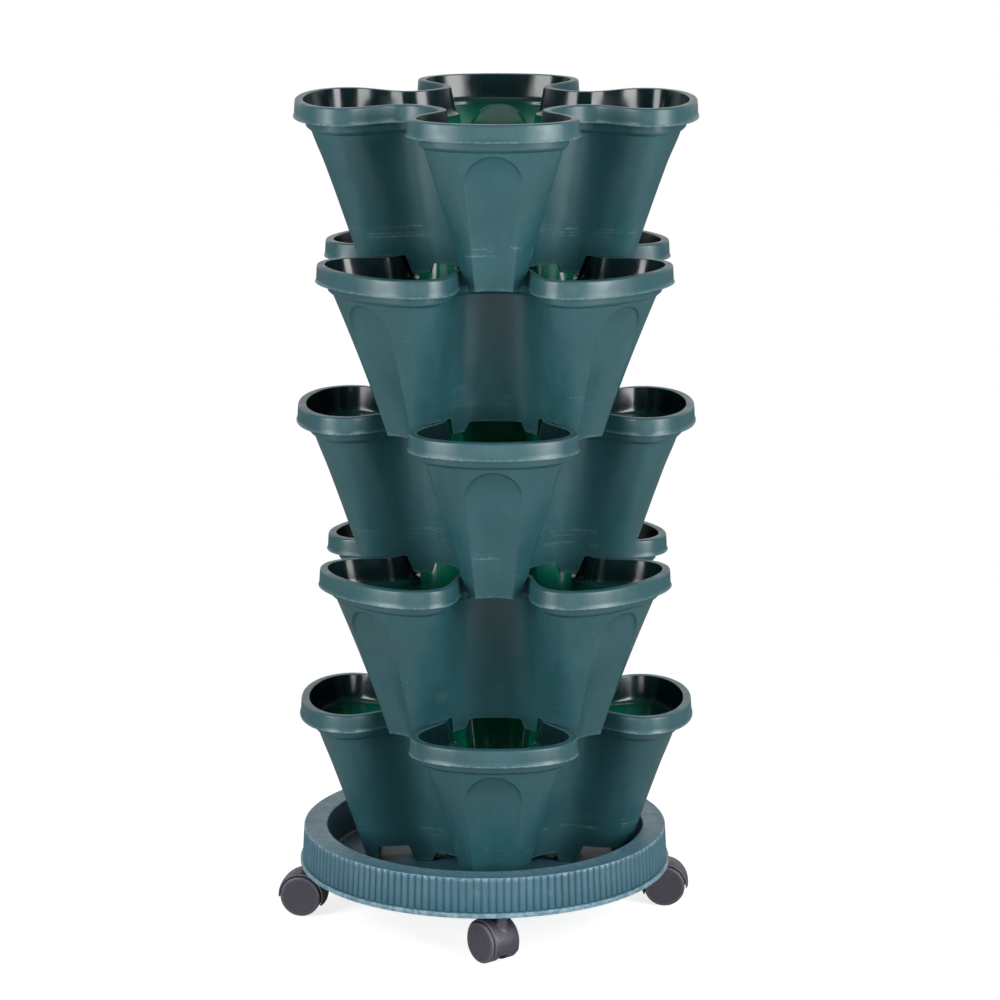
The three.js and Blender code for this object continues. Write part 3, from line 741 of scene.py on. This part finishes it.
def build_tray(material):
    """The tray, standing on the axis and at the height that its node has in the frame."""
    low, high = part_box("tray")
    centre = (low + high) / 2
    place = Matrix.Translation((centre.x, centre.y, low.z))
    new_piece("water_tray", tray_mesh(centre), place, (material,), "tray")


def hood_radius(y):
    """Outer radius of the barrel-crowned hood at y across it."""
    return HOOD_OUTER - HOOD_CROWN * (np.abs(y) / HOOD_HALF) ** HOOD_POWER


def hood_section(inset):
    """The hood's closed section as (radius, y), with rounded side edges."""
    inner, half = HOOD_INNER + inset, HOOD_HALF - inset
    y = np.linspace(-half + HOOD_EDGE, half - HOOD_EDGE, HOOD_POINTS)
    outer = [(hood_radius(v) - inset, v) for v in y]
    side = hood_radius(half) - inset
    right = [(side - HOOD_SIDE_SHARE * HOOD_EDGE, half - HOOD_TOP_SHARE * HOOD_EDGE)]
    right += [(side - HOOD_EDGE, half), (inner, half)]
    return outer + right + [(r, -v) for r, v in reversed(right)]


def hood_mesh():
    """Hood, web and collar of a caster; the axle's middle is the origin, +X leads and +Z is up."""
    front, rear = math.radians(HOOD_FRONT), math.radians(HOOD_REAR)
    chamfer = HOOD_CHAMFER / HOOD_OUTER
    stops = [(front, HOOD_CHAMFER)]
    stops += [(a, 0.0) for a in np.linspace(front + chamfer, rear - chamfer, HOOD_STEPS)]
    stops += [(rear, HOOD_CHAMFER)]
    sections = [np.array(hood_section(inset)) for _, inset in stops]
    r = np.stack([s[:, 0] for s in sections])
    y = np.stack([s[:, 1] for s in sections])
    a = np.array([angle for angle, _ in stops])[:, None]
    at_edge = (np.abs(y) > HOOD_HALF - HOOD_WORN_WIDTH) & (r > HOOD_INNER + HOOD_WORN_RISE)
    bm = skin(r * np.cos(a), y, r * np.sin(a), wear=at_edge * FULL_WEAR)
    close_ends(bm, *r.shape)
    absorb(bm, web_mesh(front, rear), Matrix.Identity(4))
    absorb(bm, collar_mesh(), Matrix.Identity(4))
    return bm


def web_mesh(front, rear):
    """The web between the wheels: a disc cut off by the chord between the hood's ends."""
    a = np.linspace(front, rear, HOOD_STEPS)
    flat = WEB_HALF - WEB_EDGE
    levels = ((-WEB_HALF, WEB_EDGE), (-flat, 0.0), (flat, 0.0), (WEB_HALF, WEB_EDGE))
    y, inset = (np.array(column)[:, None] for column in zip(*levels))
    r = HOOD_INNER + WEB_SINK - inset
    bm = skin(r * np.cos(a), y + 0 * a, r * np.sin(a), wear=0.0)
    close_ends(bm, len(levels), len(a))
    return bm


def collar_mesh():
    """The stem's collar, flaring where it grows out of the hood, with the stem's bore."""
    a = np.arange(SMALL_SIDES) * 2 * math.pi / SMALL_SIDES
    rows = []
    for r, rise in COLLAR_FLARE:
        x, y = CASTER_LEAD + r * np.cos(a), r * np.sin(a)
        rows.append((x, y, np.sqrt(hood_radius(y) ** 2 - x**2) + rise))
    top = COLLAR_TOP - WHEEL_RADIUS
    for r, z in (
        (COLLAR_RADIUS, top - COLLAR_EDGE),
        (COLLAR_RADIUS - COLLAR_EDGE_SHARE * COLLAR_EDGE, top - COLLAR_EDGE_SHARE * COLLAR_EDGE),
        (COLLAR_RADIUS - COLLAR_EDGE, top),
        (COLLAR_BORE, top),
    ):
        rows.append((CASTER_LEAD + r * np.cos(a), r * np.sin(a), z + 0 * a))
    x, y, z = (np.stack([row[k] for row in rows]) for k in range(3))
    wear = np.zeros((len(rows), 1))
    wear[-3:-1] = FULL_WEAR
    return skin(x, y, z, wrap=True, wear=wear)


def wheel_profile():
    """Half a wheel's section, from the middle of its outer face over the tread to its blind bore."""
    radii = (0.0, WHEEL_RADIUS / 2, WHEEL_RADIUS - 2 * WHEEL_EDGE)
    dish = [(r, WHEEL_FACE - share * WHEEL_DISH, 0.0) for r, share in zip(radii, WHEEL_DISH_SHARES)]
    centre = (WHEEL_RADIUS - WHEEL_EDGE, WHEEL_FACE - WHEEL_EDGE)
    outer = [(r, z, FULL_WEAR) for r, z in arc(centre, WHEEL_EDGE, *WHEEL_ARC)]
    centre = (WHEEL_RADIUS - WHEEL_BACK_EDGE, WHEEL_BACK + WHEEL_BACK_EDGE)
    inner = [(r, z, WHEEL_BACK_WEAR) for r, z in arc(centre, WHEEL_BACK_EDGE, *WHEEL_BACK_ARC)]
    bore, end = AXLE_RADIUS + AXLE_ROOM, AXLE_HALF + AXLE_ROOM
    return dish + outer + inner + [(bore, WHEEL_BACK, 0.0), (bore, end, 0.0), (0.0, end, 0.0)]


def pin_profile(radius, low, high):
    """A plain pin with chamfered ends."""
    small = radius - PIN_CHAMFER
    return [
        (0.0, low, 0.0),
        (small, low, 0.0),
        (radius, low + PIN_CHAMFER, 0.0),
        (radius, high - PIN_CHAMFER, 0.0),
        (small, high, 0.0),
        (0.0, high, 0.0),
    ]


def stem_profile():
    """The swivel stem: a pin in the hood's collar, a flange under the tray and a plug in the socket."""
    return [
        *pin_profile(STEM_RADIUS, STEM_BOTTOM, STEM_FLANGE_BOTTOM)[:3],
        (STEM_RADIUS, STEM_FLANGE_BOTTOM, 0.0),
        (STEM_FLANGE, STEM_FLANGE_BOTTOM, 0.0),
        (STEM_FLANGE, STEM_FLANGE_TOP, 0.0),
        (PLUG_RADIUS, STEM_FLANGE_TOP, 0.0),
        *pin_profile(PLUG_RADIUS, STEM_FLANGE_TOP, STEM_FLANGE_TOP + PLUG_LENGTH)[3:],
    ]


def build_caster(swivel, plastic, steel):
    """One caster, placed by its swivel joint and by the rolling joint of its wheels."""
    name = swivel["child"]
    rolls = [j for j in frame["joints"] if j["parent"] == name]
    stem, axle = Vector(swivel["pos_m"]), Vector(rolls[0]["pos_m"])
    lead = Vector((stem.x - axle.x, stem.y - axle.y, 0)).normalized()
    up = Vector((0, 0, 1))
    basis = Matrix((lead, up.cross(lead), up)).transposed().to_4x4()
    truck = Matrix.Translation(axle) @ basis
    new_piece(f"{name}_fork", hood_mesh(), truck, (plastic,), f"{name}_hood")
    across = Matrix.Rotation(-math.pi / 2, 4, "X")
    pin = turned(pin_profile(AXLE_RADIUS, -AXLE_HALF, AXLE_HALF), SMALL_SIDES)
    new_piece(f"{name}_pin", pin, truck @ across, (steel,), f"{name}_axle")
    for roll in rolls:
        low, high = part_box(roll["child"])
        outward = ((low + high) / 2 - axle).dot(truck.col[1].xyz)
        facing = Matrix.Rotation(math.copysign(math.pi / 2, -outward), 4, "X")
        wheel = turned(wheel_profile(), WHEEL_SIDES)
        new_piece(f"{roll['child']}_turned", wheel, truck @ facing, (plastic,), roll["child"])
    post = turned(stem_profile(), SMALL_SIDES)
    new_piece(f"{name}_post", post, Matrix.Translation((stem.x, stem.y, 0)), (steel,), f"{name}_stem")


def add_node(tree, kind, inputs=(), **settings):
    """A node with its settings; each input is a value or another node's output."""
    node = tree.nodes.new(kind)
    for key, value in settings.items():
        setattr(node, key, value)
    for socket, value in dict(inputs).items():
        if isinstance(value, bpy.types.NodeSocket):
            tree.links.new(value, node.inputs[socket])
        else:
            node.inputs[socket].default_value = value
    return node


class Paint:
    """Short calls to build one material's nodes."""

    def __init__(self, name):
        self.material = bpy.data.materials.new(name)
        self.material.use_nodes = True
        self.tree = self.material.node_tree
        self.tree.nodes.clear()
        self.place = self.add("ShaderNodeTexCoord").outputs["Object"]

    def add(self, kind, inputs=(), **settings):
        return add_node(self.tree, kind, inputs, **settings)

    def value(self, name):
        """A value that the mesh carries at each of its points."""
        return self.add("ShaderNodeAttribute", attribute_name=name).outputs["Fac"]

    def noise(self, scale, detail=PLAIN_DETAIL, vector=None, rough=PLAIN_ROUGH):
        inputs = {"Vector": vector or self.place, "Scale": scale, "Detail": detail, "Roughness": rough}
        return self.add("ShaderNodeTexNoise", inputs).outputs["Fac"]

    def streaks(self, stretch, detail=PLAIN_DETAIL, rough=PLAIN_ROUGH):
        """Noise with a scale of its own along each axis."""
        place = self.add("ShaderNodeMapping", {"Vector": self.place, "Scale": stretch})
        return self.noise(1.0, detail, place.outputs["Vector"], rough)

    def compute(self, operation, a, b):
        return self.add("ShaderNodeMath", {0: a, 1: b}, operation=operation).outputs[0]

    def times(self, a, b):
        return self.compute("MULTIPLY", a, b)

    def band(self, value, low, high, start=0.0, end=1.0):
        """Maps value from low..high to start..end, smoothly."""
        inputs = {"Value": value, "From Min": low, "From Max": high, "To Min": start, "To Max": end}
        return self.add("ShaderNodeMapRange", inputs, interpolation_type="SMOOTHSTEP").outputs[0]

    def mixed(self, share, a, b):
        """The colour a share of the way from a to b."""
        inputs = {"Factor": share, 6: a, 7: b}
        return self.add("ShaderNodeMix", inputs, data_type="RGBA").outputs[2]

    def bump(self, height, strength, distance, normal=None):
        """A bumped normal, on top of another if one is given."""
        inputs = {"Height": height, "Strength": strength, "Distance": distance}
        if normal:
            inputs["Normal"] = normal
        return self.add("ShaderNodeBump", inputs).outputs["Normal"]

    def finish(self, colour, roughness, normal, metallic=0.0, specular=PLAIN_SPECULAR):
        """The material, with its shader and its output."""
        inputs = {"Base Color": colour, "Roughness": roughness, "Normal": normal}
        inputs.update({"Metallic": metallic, "Specular IOR Level": specular})
        shader = self.add("ShaderNodeBsdfPrincipled", inputs)
        self.add("ShaderNodeOutputMaterial", {"Surface": shader.outputs[0]})
        return self.material


def specks(paint):
    """Tiny scattered dust specks, as a mask."""
    cells = paint.add("ShaderNodeTexVoronoi", {"Vector": paint.place, "Scale": SPECK_SCALE})
    near = paint.band(cells.outputs["Distance"], SPECK_SIZE, SPECK_CORE)
    red = paint.add("ShaderNodeSeparateColor", {"Color": cells.outputs["Color"]}).outputs[0]
    return paint.times(near, paint.compute("LESS_THAN", red, SPECK_SHARE))


def scuffs(paint):
    """Faint granular scuff lines that run level, low on the walls where stacked pots rub, as a mask."""
    lines = paint.band(paint.streaks(SCUFF_STRETCH, SCUFF_DETAIL, HARSH_ROUGH), *SCUFF_LINES)
    patches = paint.band(paint.noise(*SCUFF_PATCH_NOISE), *SCUFF_PATCHES)
    grains = paint.band(paint.noise(*SCUFF_GRAIN_NOISE), *SCUFF_GRAINS)
    height = paint.value("height")
    above = paint.band(height, SCUFF_TOP, SCUFF_MIDDLE)
    below = paint.band(height, SCUFF_BOTTOM, SCUFF_MIDDLE)
    return paint.times(paint.times(paint.times(lines, patches), grains), paint.times(above, below))


def moulded_colour(paint, dark, light, worn):
    """Base colour with cloudy mottling, faint flow streaks and paler worn edges."""
    cloud = paint.band(paint.noise(*CLOUD_NOISE), *MIDDLE)
    streak = paint.band(paint.streaks(STREAK_STRETCH), *MIDDLE)
    mottle = paint.compute("ADD", paint.times(cloud, CLOUD_SHARE), paint.times(streak, STREAK_SHARE))
    rub = paint.band(paint.noise(*RUB_NOISE), *RUB_RANGE)
    rubbed = paint.compute("ADD", paint.times(rub, RUB_SHARE), RUB_START)
    return paint.mixed(paint.times(paint.value("wear"), rubbed), paint.mixed(mottle, dark, light), worn)


def moulded_finish(paint, colour, surface):
    """A moulded surface: uneven roughness, a fine grain and the slow waves of the wall."""
    rough = paint.band(paint.noise(*surface["rough_noise"]), *MIDDLE, *surface["rough"])
    grain = paint.bump(paint.noise(*surface["grain_noise"]), *surface["grain_bump"])
    normal = paint.bump(paint.noise(*surface["wave_noise"]), *surface["wave_bump"], grain)
    return paint.finish(colour, rough, normal, specular=surface["specular"])


def pot_outer():
    """Satin moulded plastic with a fine grain, scuffs and a few specks."""
    paint = Paint("pot_satin")
    colour = moulded_colour(paint, POT_DARK, POT_LIGHT, POT_WORN)
    colour = paint.mixed(paint.times(scuffs(paint), SCUFF_SHARE), colour, SCUFF_COLOUR)
    colour = paint.mixed(specks(paint), colour, SPECK_COLOUR)
    return moulded_finish(paint, colour, POT_SURFACE)


def pot_inner():
    """The glossy inside of the pots, with a painted dark reflection as slate at the rim and painted light as
    a brighter green deeper down.
    """
    paint = Paint("pot_gloss_painted_light")
    # Painted light: by height, from a painted dark reflection near the rim to a painted glow of bright green
    # deeper down
    depth = paint.band(paint.value("height"), PAINTED_GLOW_FADE_TOP, PAINTED_GLOW_FADE_FOOT)
    dark = paint.mixed(depth, INNER_PAINTED_REFLECTION_DARK, INNER_PAINTED_GLOW_DARK)
    light = paint.mixed(depth, INNER_PAINTED_REFLECTION_LIGHT, INNER_PAINTED_GLOW_LIGHT)
    return moulded_finish(paint, moulded_colour(paint, dark, light, POT_WORN), INNER_SURFACE)


def tray_plastic():
    """Satin plastic, a little paler and more scuffed on its ring, with painted shade darkening the grooves
    between the reeds.
    """
    paint = Paint("tray_satin")
    colour = moulded_colour(paint, TRAY_DARK, TRAY_LIGHT, TRAY_WORN)
    # Painted shade: the grooves between the reeds are darkened by their depth
    colour = paint.mixed(paint.times(paint.value("groove"), GROOVE_SHADE_SHARE), colour, GROOVE_SHADE_COLOUR)
    rub = paint.band(paint.streaks(TRAY_RUB_STRETCH, TRAY_RUB_DETAIL, HARSH_ROUGH), *TRAY_RUB_RANGE)
    colour = paint.mixed(paint.times(rub, TRAY_RUB_SHARE), colour, TRAY_WORN)
    return moulded_finish(paint, colour, TRAY_SURFACE)


def caster_plastic():
    """Black nylon with a fine moulded grain."""
    paint = Paint("caster_nylon")
    grain = paint.noise(*NYLON_GRAIN_NOISE, rough=HARSH_ROUGH)
    base = paint.mixed(paint.band(grain, *NYLON_GRAINS), NYLON_DARK, NYLON_LIGHT)
    colour = paint.mixed(paint.times(paint.value("wear"), NYLON_WORN_SHARE), base, NYLON_WORN)
    rough = paint.band(paint.noise(*NYLON_ROUGH_NOISE), *MIDDLE, *NYLON_ROUGH)
    return paint.finish(colour, rough, paint.bump(grain, *NYLON_BUMP))


def plated_steel():
    """Zinc-plated pins with fine turning lines."""
    paint = Paint("plated_steel")
    lines = paint.streaks(STEEL_STRETCH)
    colour = paint.mixed(lines, STEEL_DARK, STEEL_LIGHT)
    rough = paint.band(lines, *MIDDLE, *STEEL_ROUGH)
    return paint.finish(colour, rough, paint.bump(lines, *STEEL_BUMP), metallic=1.0)


def build_floor():
    """A pale floor that keeps the object's shadow and fades into the white backdrop away from it."""
    bpy.ops.mesh.primitive_plane_add(size=FLOOR_SIZE, location=(0, 0, -FLOOR_GAP))
    floor = bpy.context.object
    floor.name = "floor"
    paint = Paint("floor_white")
    seen = paint.add("ShaderNodeLightPath").outputs["Is Camera Ray"]
    diffuse = paint.add("ShaderNodeBsdfDiffuse", {"Color": FLOOR_COLOUR})
    strength = paint.times(seen, FLOOR_GLOW)
    glow = paint.add("ShaderNodeEmission", {"Color": WHITE, "Strength": strength})
    both = paint.add("ShaderNodeAddShader", {0: diffuse.outputs[0], 1: glow.outputs[0]})
    away = paint.add("ShaderNodeVectorMath", {0: paint.place}, operation="LENGTH").outputs["Value"]
    fade = paint.times(seen, paint.band(away, FLOOR_FADE_NEAR, FLOOR_FADE_FAR))
    white = paint.add("ShaderNodeEmission", {"Color": WHITE, "Strength": 1.0})
    faded = paint.add("ShaderNodeMixShader", {0: fade, 1: both.outputs[0], 2: white.outputs[0]})
    paint.add("ShaderNodeOutputMaterial", {"Surface": faded.outputs[0]})
    floor.data.materials.append(paint.material)


def build_world():
    """White to the camera and through glass; all else sees a dim room with a paler backdrop."""
    world = bpy.data.worlds.new("studio")
    bpy.context.scene.world = world
    world.use_nodes = True
    tree = world.node_tree

    def ramp(value, start, end, low=0.0, high=1.0):
        """Maps value from low..high to start..end."""
        inputs = {"Value": value, "From Min": low, "From Max": high, "To Min": start, "To Max": end}
        return add_node(tree, "ShaderNodeMapRange", inputs).outputs[0]

    path = add_node(tree, "ShaderNodeLightPath").outputs
    rays = {0: path["Is Camera Ray"], 1: path["Is Transmission Ray"]}
    seen = add_node(tree, "ShaderNodeMath", rays, operation="MAXIMUM").outputs[0]
    place = add_node(tree, "ShaderNodeTexCoord").outputs["Generated"]
    toward = add_node(tree, "ShaderNodeSeparateXYZ", {0: place}).outputs["Y"]
    room = ramp(toward, ROOM_LIGHT, BACKDROP_LIGHT, BACKDROP_START, BACKDROP_FULL)
    gloss = ramp(toward, ROOM_GLOSS, BACKDROP_GLOSS, BACKDROP_START, BACKDROP_FULL)
    unseen = ramp(path["Is Glossy Ray"], room, gloss)
    background = tree.nodes["Background"].inputs
    background["Color"].default_value = WHITE
    tree.links.new(ramp(seen, unseen, 1.0), background["Strength"])


def build_lights():
    """Rectangular area lamps that look at the middle of the object."""
    for name, (place, width, height, power) in LAMPS.items():
        light = bpy.data.lights.new(name, "AREA")
        light.shape = "RECTANGLE"
        light.size, light.size_y, light.energy = width, height, power
        obj = bpy.data.objects.new(name, light)
        obj.location = place
        obj.rotation_euler = (Vector(LAMP_TARGET) - Vector(place)).to_track_quat("-Z", "Y").to_euler()
        bpy.context.scene.collection.objects.link(obj)


def build_camera():
    """The camera at the photograph's viewing angle."""
    data = bpy.data.cameras.new("camera")
    data.lens, data.sensor_width = CAMERA_LENS, CAMERA_SENSOR
    camera = bpy.data.objects.new("camera", data)
    camera.location = CAMERA_PLACE
    camera.rotation_euler = [math.radians(angle) for angle in CAMERA_ANGLES]
    bpy.context.scene.collection.objects.link(camera)
    bpy.context.scene.camera = camera


bpy.context.scene.view_settings.view_transform = "Standard"
build_camera()
build_world()
build_lights()
build_floor()
build_pots(pot_outer(), pot_inner())
build_tray(tray_plastic())
nylon, steel = caster_plastic(), plated_steel()
for swivel_joint in (j for j in frame["joints"] if j["name"].endswith("_swivel")):
    build_caster(swivel_joint, nylon, steel)
